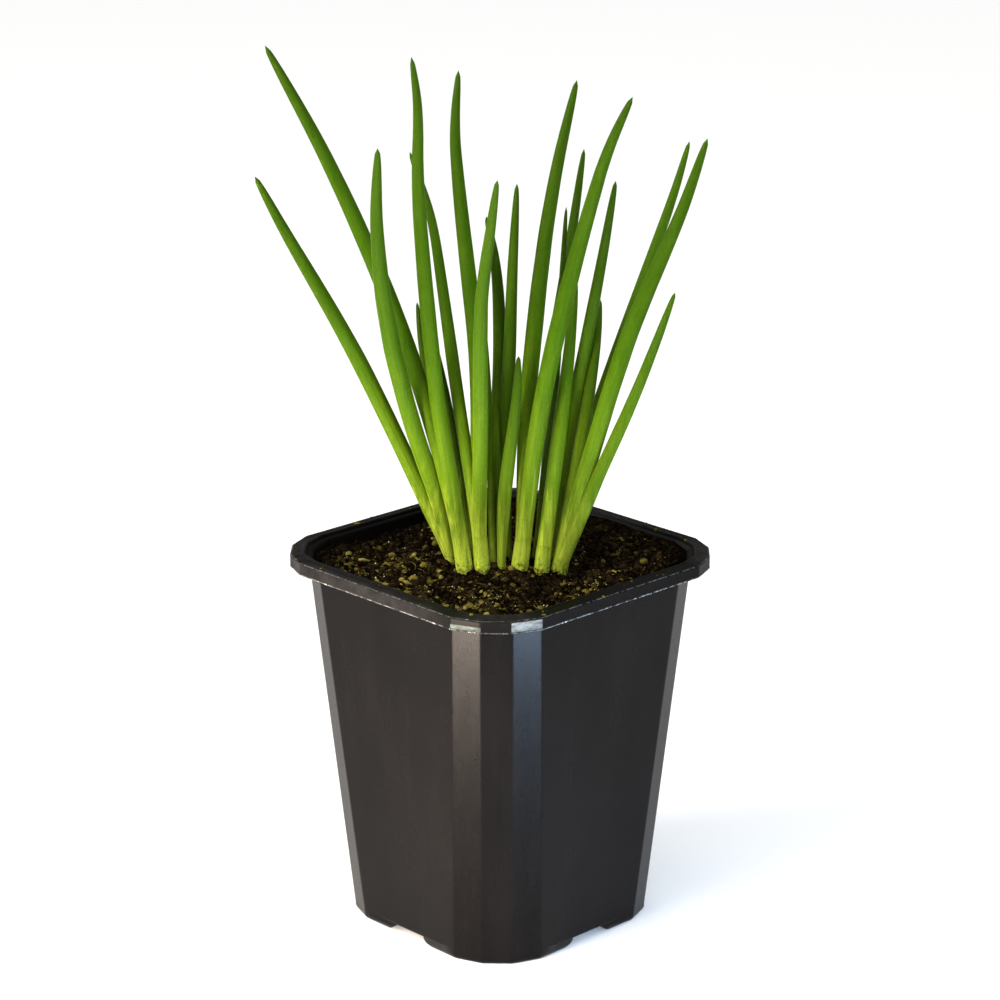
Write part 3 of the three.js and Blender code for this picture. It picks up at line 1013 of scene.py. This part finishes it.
def rim_top(sizes, pot_mesh):
    """The sloping top of the pot's rim, cut out of its mesh."""
    build = bmesh.new()
    build.from_mesh(pot_mesh)
    _, lowest = band_heights(sizes)
    others = [
        face for face in build.faces
        if face.normal.z < UPWARD or min(v.co.z for v in face.verts) < lowest
    ]
    bmesh.ops.delete(build, geom=others, context="FACES")
    top = mesh_of(build, "rim_top")
    add_layer(top, "room", [], 1.0)
    add_layer(top, "region", [], 1.0)
    return top


def loose_kinds(soil):
    """What lies on the compost and the rim. Each kind has its name, its shape, how many,
    the smallest and largest size in mm, flatness, length, sink, raggedness, the lowest and
    highest tint, and how far its tints lean to the lowest."""
    return (
        ("clods", pebble(3), soil.clods, 2.6, 6.0, 0.7, 1.2, 0.15, 0.5, 0.0, 0.4, 1.8),
        ("granules", bead, soil.granules, 1.0, 3.0, 0.75, 1.15, 0.1, 0.45, 0.0, 0.62, 2.0),
        ("husks", bead, soil.husks, 1.1, 2.8, 0.8, 1.1, -0.1, 0.4, 0.4, 0.95, 1.8),
        ("crumbs", pebble(1), soil.crumbs, 0.5, 1.6, 0.8, 1.1, 0.0, 0.5, 0.0, 0.85, 2.0),
        ("bark_chips", flake, soil.chips, 1.0, 3.4, 0.45, 1.5, -0.1, 0.25, 0.1, 0.9, 2.0),
        ("root_fibres", curl, soil.fibres, 1.2, 4.6, 1.0, 1.3, -0.12, 0.1, 0.1, 0.9, 1.6),
        # Pale grit, partly painted glints: white grains that also stand in for the wet
        # compost's glints.
        ("grit", pebble(1), soil.grit, 0.25, 0.6, 0.9, 1.0, -0.8, 0.2, 1.3, 1.6, 1.0),
        ("spilt_soil", bead, soil.spilt, 0.2, 1.3, 0.6, 1.3, 0.0, 0.3, 0.2, 0.8, 1.5),
    )


class ONION_OT_compost(bpy.types.Operator):
    """Makes the bed of compost and strews granules, bark, fibres and pale grit, partly painted
    glints, over it
    """

    bl_idname = "onion.compost"
    bl_label = "Compost"

    def execute(self, context):
        soil, sizes = context.scene.onion_compost, context.scene.onion_pot
        compost_colours_group(soil)
        bed = compost_mesh(soil, sizes)
        packed = compost_material("compost", False)
        loose = compost_material("loose_compost", True)
        link_piece("compost_bed", bed, packed, "compost", "compost")
        rim = rim_top(sizes, bpy.data.objects["nursery_pot"].data)
        for seed, kind in enumerate(loose_kinds(soil), start=11):
            name, shape, amount, small, large, flat, long, sink, rag, low, high, skew = kind
            under = rim if name == "spilt_soil" else bed
            mesh = run_nodes(
                scene_object(name, under.copy()), scatter_group(f"strew_{name}", shape), name,
                Area=flat_area(under), Count=amount, Smallest=small * MM,
                Largest=large * MM, Flatness=flat, Length=long, Sink=sink, Raggedness=rag,
                Tint_Low=low, Tint_High=high, Tint_Skew=skew, Seed=seed, Material=loose,
            )
            link_piece(name, mesh, None, "compost")
        return {"FINISHED"}


# ------------------------------------------------------------------ shoots and leaves

# Tone of the shoots and leaves that aren't plain, from 0, deep, to 1, light.
PLAIN_TONE = 0.6
TONES = {
    "shoot_5": 0.35,
    "shoot_6": 0.35,
    "shoot_7": 0.1,
    "shoot_8": 0.2,
    "shoot_9": 0.5,
    "shoot_10": 0.5,
    "shoot_11": 0.15,
    "shoot_12": 0.35,
    "shoot_13": 0.35,
    "shoot_3_leaf_1": 0.25,
    "shoot_3_leaf_2": 0.3,
    "shoot_4_leaf_2": 0.62,
    "shoot_5_leaf_1": 0.4,
    "shoot_6_leaf_1": 0.4,
    "shoot_7_leaf_1": 0.4,
    "shoot_8_leaf_1": 0.45,
    "shoot_9_leaf_2": 0.45,
    "shoot_11_leaf_1": 0.25,
    "shoot_11_leaf_2": 0.4,
    "shoot_11_leaf_3": 0.2,
    "shoot_13_leaf_1": 0.3,
}
# How pale with wax the lower part of a leaf is.
PALENESS = {"shoot_1_leaf_2": 0.15, "shoot_4_leaf_2": 0.8, "shoot_9_leaf_2": 0.1}


def tube_width(found):
    """Diameter of a leaning round tube, from the middles and areas of its level sections."""
    widths = []
    for (below, _), (_, area), (above, _) in zip(found, found[1:], found[2:]):
        lean = (above - below).normalized().z
        widths.append(2 * math.sqrt(area * lean / math.pi))
    return max(widths)


def shoot_route(node):
    """Points up the middle of a shoot, from under the compost to its top, and its width."""
    low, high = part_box(node)
    found = sections(node, np.linspace(low.z + 0.8 * MM, high.z - 1.5 * MM, 7))
    return [middle for middle, _ in found], tube_width(found[1:])


def leaf_route(node, shoot_points):
    """Points up the middle of a leaf, from the foot of its shoot to its tip, its width and
    how far it runs inside the shoot."""
    low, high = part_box(node)
    found = sections(node, np.linspace(low.z + 1 * MM, high.z - 4 * MM, 16))
    # In its lower half a solid may be cut away where its neighbours press on it, so the
    # sections are used from the top down to the last that isn't cut.
    whole = len(found) - 1
    while whole > 0 and (
        found[whole - 1][1] > 0.8 * found[whole][1] or whole > len(found) // 2
    ):
        whole -= 1
    found = found[whole:]
    points = [middle for middle, _ in found]
    inside = [shoot_points[0], shoot_points[2], shoot_points[4]]
    neck = sum((b - a).length for a, b in zip(inside, [*inside[1:], points[0]]))
    tip = max((v.co.copy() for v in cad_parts[node].data.vertices), key=lambda p: p.z)
    return [*inside, *points, tip], tube_width(found), neck


def stem_radius(w, given, half, along, run):
    """Radius along a stem: its neck, the swelling of its foot, and the taper to its tip."""
    neck = w.span(run, w.times(given["Neck Length"], 0.5), w.times(given["Neck Length"], 1.4),
                  given["Neck"], 1.0, smooth=True)
    left = w.maths("DIVIDE", w.maths("SUBTRACT", 1.0, along),
                   w.maths("SUBTRACT", 1.0, given["Taper Start"]))
    taper = w.maths("POWER", w.maths("MINIMUM", 1.0, left), given["Taper Power"])
    foot = w.times(w.span(along, 0.15, 0.6, 1.0, 0.0, smooth=True), given["Swelling"])
    full = w.times(neck, taper, w.maths("ADD", 1.0, foot))
    finest = 0.08 * MM
    return w.maths("MAXIMUM", w.times(full, half), finest)


def stem_grain(w, given, half, around):
    """Coordinates that run straight along a stem, apart from those of the other stems."""
    straight = w.point(w.times(around["X"], half), w.times(around["Y"], half), w.named("run"))
    return w.vector("ADD", straight, w.point(given["Seed"], w.times(given["Seed"], 1.7)))


def stem_push(w, given, half, around, grain):
    """How far the surface moves out: shallow dents, and a flattening of two sides."""
    left = w.maths("SUBTRACT", 1.0, w.named("along"))
    dents = w.span(w.grain(w.stretched(grain, 260, 260, 34), 1.0, 2.0), 0.0, 1.0, -1.0, 1.0)
    dented = w.times(dents, w.times(w.span(left, 0.0, 0.12), given["Dents"]))
    sideways = w.times(around["X"], around["X"])
    squeeze = w.times(w.times(given["Ovality"], sideways), half, -1.0)
    return w.maths("ADD", dented, w.times(squeeze, w.span(left, 0.0, 0.6)))


def stem_group():
    """A tapered round stem along a curve, with gentle dents and its own grain coordinates."""
    w, given = new_group(
        "onion_stem", "GeometryNodeTree",
        {"Route": GEOMETRY, "Width": 0.004, "Neck": 1.0, "Neck Length": 0.02,
         "Taper Start": 0.5, "Taper Power": 0.33, "Swelling": 0.0, "Ovality": 0.03,
         "Dents": 0.00005, "Rings": 96, "Sides": 24, "Root Tone": 0.5, "Tone": 0.5,
         "Paleness": 0.0, "Seed": 0.0, "Material": MATERIAL},
        {"Stem": GEOMETRY},
    )
    path = w.add(
        "GeometryNodeCurveSplineType", Curve=given["Route"], spline_type="CATMULL_ROM"
    )
    path = w.add("GeometryNodeResampleCurve", Curve=path, Count=given["Rings"])
    place = w.add("GeometryNodeSplineParameter", out=None).outputs
    path = w.store(path, "along", place["Factor"])
    path = w.store(path, "run", place["Length"])
    circle = w.add("GeometryNodeCurvePrimitiveCircle", Resolution=given["Sides"], Radius=1.0)
    section = w.store(circle, "round", w.add("GeometryNodeInputPosition"), "FLOAT_VECTOR")
    half = w.maths("DIVIDE", given["Width"], 2.0)
    tube = w.add(
        "GeometryNodeCurveToMesh", Curve=path, Profile_Curve=section, Fill_Caps=True,
        Scale=stem_radius(w, given, half, place["Factor"], place["Length"]),
    )
    around = w.xyz(w.named("round", "FLOAT_VECTOR"))
    grain = stem_grain(w, given, half, around)
    tube = w.store(tube, "grain", grain, "FLOAT_VECTOR")
    push = stem_push(w, given, half, around, grain)
    tube = w.add("GeometryNodeSetPosition", Geometry=tube,
                 Offset=w.vector("SCALE", w.add("GeometryNodeInputNormal"), push))
    parted = w.span(w.named("run"), w.times(given["Neck Length"], 0.9),
                    w.times(given["Neck Length"], 2.2), smooth=True)
    tube = w.store(tube, "tone", w.span(parted, 0.0, 1.0, given["Root Tone"], given["Tone"]))
    tube = w.store(tube, "paleness", w.times(parted, given["Paleness"]))
    tube = w.add("GeometryNodeSetShadeSmooth", Geometry=tube)
    tube = w.add("GeometryNodeRealizeInstances", Geometry=tube)
    tube = w.add("GeometryNodeSetMaterial", Geometry=tube, Material=given["Material"])
    close_group(w, Stem=tube)
    return w.tree


def onion_skin_group(plant, soil_level):
    """Colour and fine veins of onion leaf, from the compost up to the tip."""
    w, given = new_group(
        "onion_skin", "ShaderNodeTree",
        {"Grain": VECTOR, "Place": VECTOR, "Along": 0.5, "Tone": 0.5, "Paleness": 0.0},
        {"Color": COLOUR, "Roughness": FLOAT, "Height": FLOAT},
    )
    grain, place, along, tone = [given[k] for k in ("Grain", "Place", "Along", "Tone")]
    height = w.xyz(place)["Z"]
    streak = w.grain(w.stretched(grain, 1, 1, 0.03), 900.0, 3.0, 0.6)
    vein = w.grain(w.stretched(grain, 1, 1, 0.012), 2300.0, 2.0, 0.5)
    mottle = w.grain(w.stretched(grain, 1, 1, 0.25), 260.0, 4.0, 0.6)
    stipple = w.grain(w.stretched(grain, 1, 1, 0.4), 2600.0, 2.0, 0.6)
    fray = w.grain(w.stretched(place, 1, 1, 0.08), 600.0, 3.0, 0.6)
    ragged = w.maths("ADD", height, w.span(fray, 0.2, 0.8, -14 * MM, 14 * MM))
    greening = w.span(ragged, soil_level - 4 * MM, soil_level + 32 * MM, smooth=True)
    growing = w.maths("MAXIMUM", w.span(tone, 0.0, 0.55, 0.85, 0.0),
                      w.span(ragged, soil_level + 12 * MM, soil_level + 85 * MM, smooth=True))
    skin = w.mix(greening, plant.pale, plant.young)
    skin = w.mix(growing, skin, plant.grown)
    skin = w.mix(w.span(along, 0.55, 1.0), skin, plant.tip)
    waxy = w.times(given["Paleness"], w.span(along, 0.25, 0.75, 0.85, 0.1))
    skin = w.mix(waxy, skin, plant.bloom)
    skin = w.mix(w.span(mottle, 0.35, 0.75, 0.0, 0.3), skin, plant.bloom)
    skin = w.mix(w.span(vein, 0.35, 0.65, 0.0, 0.36), skin, plant.tip)
    strength = w.times(w.span(tone, 0.0, 1.0, 0.6, 1.25), w.span(stipple, 0.3, 0.7, 0.9, 1.12))
    skin = w.add("ShaderNodeHueSaturation", Value=strength, Color=skin)
    cover = w.span(height, soil_level, soil_level + 7 * MM, 0.62, 0.0)
    splash = patches(w, place, scale=900.0, cover=cover, softness=0.1)
    skin = w.mix(w.times(splash, 0.8), skin, plant.soiled)
    ridge = w.add("ShaderNodeMix", data_type="FLOAT", Factor=0.4, A=vein, B=streak)
    close_group(w, Color=skin, Roughness=w.span(mottle, 0.3, 0.7, 0.34, 0.5), Height=ridge)


def onion_material(name):
    """Waxy onion skin, faintly lit through."""
    material, w, shader = new_material(name)
    look = use_group(
        w, "onion_skin", Grain=attribute(w, "grain", "Vector"), Place=object_coordinates(w),
        Along=attribute(w, "along"), Tone=attribute(w, "tone"),
        Paleness=attribute(w, "paleness"),
    )
    dress(w, shader, look["Color"], look["Roughness"], look["Height"],
          strength=0.4, depth=0.12 * MM, specular=0.02)
    shader.inputs["Subsurface Weight"].default_value = 0.5
    shader.inputs["Subsurface Radius"].default_value = (0.5, 1.0, 0.1)
    shader.inputs["Subsurface Scale"].default_value = 2.2 * MM
    return material


def curve_through(name, points):
    """A curve object through points, for the stem nodes to follow."""
    curve = bpy.data.curves.new(name, "CURVE")
    curve.dimensions = "3D"
    spline = curve.splines.new("POLY")
    spline.points.add(len(points) - 1)
    for spot, point in zip(spline.points, points):
        spot.co = (*point, 1)
    return scene_object(name, curve)


def grow(stems, name, slot, node, route, **inputs):
    """Makes one stem along its route, in place of its solid."""
    mesh = run_nodes(curve_through(node, route), stems, name, **inputs)
    link_piece(name, mesh, None, slot, node)


class ONION_OT_plants(bpy.types.Operator):
    """Grows every shoot and leaf of the clump along its solid"""

    bl_idname = "onion.plants"
    bl_label = "Shoots and leaves"

    def execute(self, context):
        plant, soil = context.scene.onion_plant, context.scene.onion_compost
        onion_skin_group(plant, soil.level)
        stems = stem_group()
        leaf_skin, shoot_skin = onion_material("leaf"), onion_material("shoot")
        for place, node in enumerate(SHOOT_NODES, start=1):
            points, width = shoot_route(node)
            root_tone = TONES.get(node, PLAIN_TONE)
            # It closes a little above its solid's top, inside its leaves.
            top = points[-1] + (points[-1] - points[-2]).normalized() * 5 * MM
            grow(
                stems, f"stalk_{place}", "shoot", node, [*points, top],
                Width=width, Neck=1.0, Taper_Start=plant.shoot_taper,
                Taper_Power=plant.shoot_blunt, Swelling=plant.swelling, Dents=plant.dents,
                Rings=plant.rings // 2, Sides=plant.sides, Root_Tone=root_tone,
                Tone=root_tone, Paleness=0.0, Seed=float(place), Material=shoot_skin,
            )
            leaves = [leaf for leaf in LEAF_NODES if leaf.startswith(f"{node}_leaf_")]
            for which, leaf in enumerate(leaves, start=1):
                route, leaf_width, neck = leaf_route(leaf, points)
                grow(
                    stems, leaf.replace("shoot", "stalk"), "leaf", leaf, route,
                    Width=leaf_width * plant.fullness, Neck=plant.neck * width / leaf_width,
                    Neck_Length=neck, Taper_Start=plant.taper, Taper_Power=plant.blunt,
                    Rings=plant.rings, Sides=plant.sides, Root_Tone=root_tone,
                    Tone=TONES.get(leaf, PLAIN_TONE), Paleness=PALENESS.get(leaf, 0.0),
                    Seed=place + 0.3 * which, Material=leaf_skin,
                )
        return {"FINISHED"}


# ------------------------------------------------------------------ stage


def soft_light(name, place, aim, size, glow, tint):
    """A rectangular soft light of a given glow, at a place and turned towards a point."""
    data = bpy.data.lights.new(name, "AREA")
    data.shape, data.size, data.size_y = "RECTANGLE", *size
    data.energy, data.color = glow * math.pi * size[0] * size[1], tint
    light = scene_object(name, data)
    light.location = place
    light.rotation_mode = "QUATERNION"
    light.rotation_quaternion = (Vector(place) - Vector(aim)).to_track_quat("Z", "Y")
    light.visible_camera = False


def lay_floor(shade):
    build = bmesh.new()
    bmesh.ops.create_grid(build, x_segments=1, y_segments=1, size=6)
    mesh = mesh_of(build, "floor")
    material, _, shader = new_material("floor")
    shader.inputs["Base Color"].default_value = rgba(shade)
    shader.inputs["Roughness"].default_value = 0.9
    mesh.materials.append(material)
    scene_object("floor", mesh)


def hang_lights(scene):
    """A pale sky, a wide soft sun, a strip on either side of the +X -Y corner, a key and
    a fill."""
    world = bpy.data.worlds.new("studio")
    world.use_nodes = True
    sky = world.node_tree.nodes["Background"]
    sky.inputs["Color"].default_value = (1, 1, 1, 1)
    sky.inputs["Strength"].default_value = 0.12
    scene.world = world
    dome = bpy.data.lights.new("dome", "SUN")
    dome.energy, dome.angle = 3.0, math.radians(130)
    scene_object("dome", dome).rotation_euler = (math.radians(22), math.radians(-6), 0)
    strip, plants = (0.05, 0.07), (0, 0, 0.15)
    soft_light("left strip", (0.032, -0.205, 0.042), (0.034, -0.047, 0.105), strip,
               84.0, (1, 0.84, 0.7))
    soft_light("right strip", (0.205, -0.032, 0.042), (0.047, -0.034, 0.105), strip,
               54.0, (0.5, 0.72, 1))
    soft_light("key", (-0.35, -1.0, 0.6), plants, (0.6, 0.8), 10.0, (1, 0.89, 0.76))
    soft_light("fill", (0.95, -0.45, 0.4), plants, (0.8, 0.8), 3.0, (0.86, 0.93, 1))


def place_camera(scene, stage):
    camera = bpy.data.cameras.new("camera")
    camera.lens, camera.sensor_width = stage.lens, 36
    camera.clip_start, camera.clip_end = 0.01, 50
    view = scene_object("camera", camera)
    view.location = (
        math.sin(stage.azimuth) * stage.camera_reach,
        -math.cos(stage.azimuth) * stage.camera_reach,
        stage.camera_height,
    )
    view.rotation_euler = (math.pi / 2 - stage.pitch, 0, stage.azimuth)
    scene.camera = view


class ONION_OT_stage(bpy.types.Operator):
    """Makes the pale floor, the soft studio lights and the camera"""

    bl_idname = "onion.stage"
    bl_label = "Stage"

    def execute(self, context):
        stage = context.scene.onion_stage
        lay_floor(stage.floor)
        hang_lights(context.scene)
        place_camera(context.scene, stage)
        context.scene.view_settings.view_transform = "Standard"
        return {"FINISHED"}


# ------------------------------------------------------------------ panel and main

OPERATORS = (ONION_OT_pot, ONION_OT_compost, ONION_OT_plants, ONION_OT_stage)
SIZES = {
    "onion_pot": OnionPotSizes,
    "onion_compost": OnionCompostSizes,
    "onion_plant": OnionPlantSizes,
    "onion_stage": OnionStageSizes,
}


class ONION_PT_sidebar(bpy.types.Panel):
    """Lists the pieces of the potted onions"""

    bl_label = "Potted Welsh Onions"
    bl_idname = "ONION_PT_sidebar"
    bl_space_type = "VIEW_3D"
    bl_region_type = "UI"
    bl_category = "Onions"

    def draw(self, context):
        for operator in OPERATORS:
            self.layout.operator(operator.bl_idname)
        for name, group in SIZES.items():
            box = self.layout.box()
            for field in group.__annotations__:
                box.prop(getattr(context.scene, name), field)


def register():
    for kind in (*SIZES.values(), *OPERATORS, ONION_PT_sidebar):
        bpy.utils.register_class(kind)
    for name, group in SIZES.items():
        setattr(bpy.types.Scene, name, bpy.props.PointerProperty(type=group))


def unregister():
    for name in SIZES:
        delattr(bpy.types.Scene, name)
    for kind in reversed((*SIZES.values(), *OPERATORS, ONION_PT_sidebar)):
        bpy.utils.unregister_class(kind)


def main():
    register()
    fine_bump_group()
    patches_group()
    for operator in OPERATORS:
        getattr(bpy.ops.onion, operator.bl_idname.split(".")[1])()


if __name__ == "__main__":
    main()
